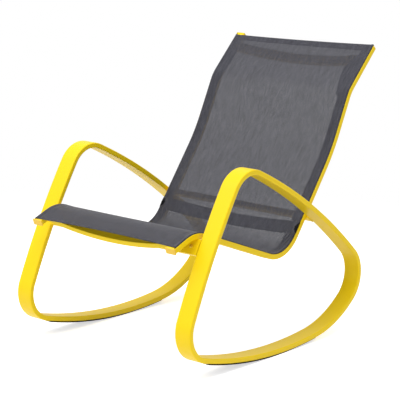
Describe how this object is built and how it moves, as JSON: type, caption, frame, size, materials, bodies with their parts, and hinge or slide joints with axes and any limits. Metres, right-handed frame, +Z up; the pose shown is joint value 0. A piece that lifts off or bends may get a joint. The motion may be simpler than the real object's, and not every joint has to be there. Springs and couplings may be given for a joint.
{
  "type": "outdoor rocking chair",
  "caption": "Outdoor rocking chair: bent flat-tube side loops form arms, legs and rockers, with a mesh sling seat stretched on bent rails between them.",
  "frame": {"origin": "on the floor under the middle of the chair's box", "axes": "+Z up, -Y the way the sitter faces, +X to the sitter's left"},
  "size_m": [0.644, 0.918, 0.839],
  "materials": {
    "yellow_frame": "satin",
    "sling_mesh": "matte",
    "glide_rubber": "matte",
    "rail_cap": "satin",
    "spline_plastic": "matte"
  },
  "bodies": {
    "root": {"sling": "sling_mesh", "front_bow_bar": "yellow_frame", "top_bow_bar": "yellow_frame", "front_cross_bar": "yellow_frame", "rear_cross_bar": "yellow_frame", "left_rocker_loop": "yellow_frame", "left_glide_strip": "glide_rubber", "left_sling_rail": "yellow_frame", "left_sling_spline": "spline_plastic", "left_front_rail_cap": "rail_cap", "left_top_rail_cap": "rail_cap", "left_front_bracket": "yellow_frame", "right_rocker_loop": "yellow_frame", "right_glide_strip": "glide_rubber", "right_sling_rail": "yellow_frame", "right_sling_spline": "spline_plastic", "right_front_rail_cap": "rail_cap", "right_top_rail_cap": "rail_cap", "right_front_bracket": "yellow_frame"}
  },
  "joints": []
}
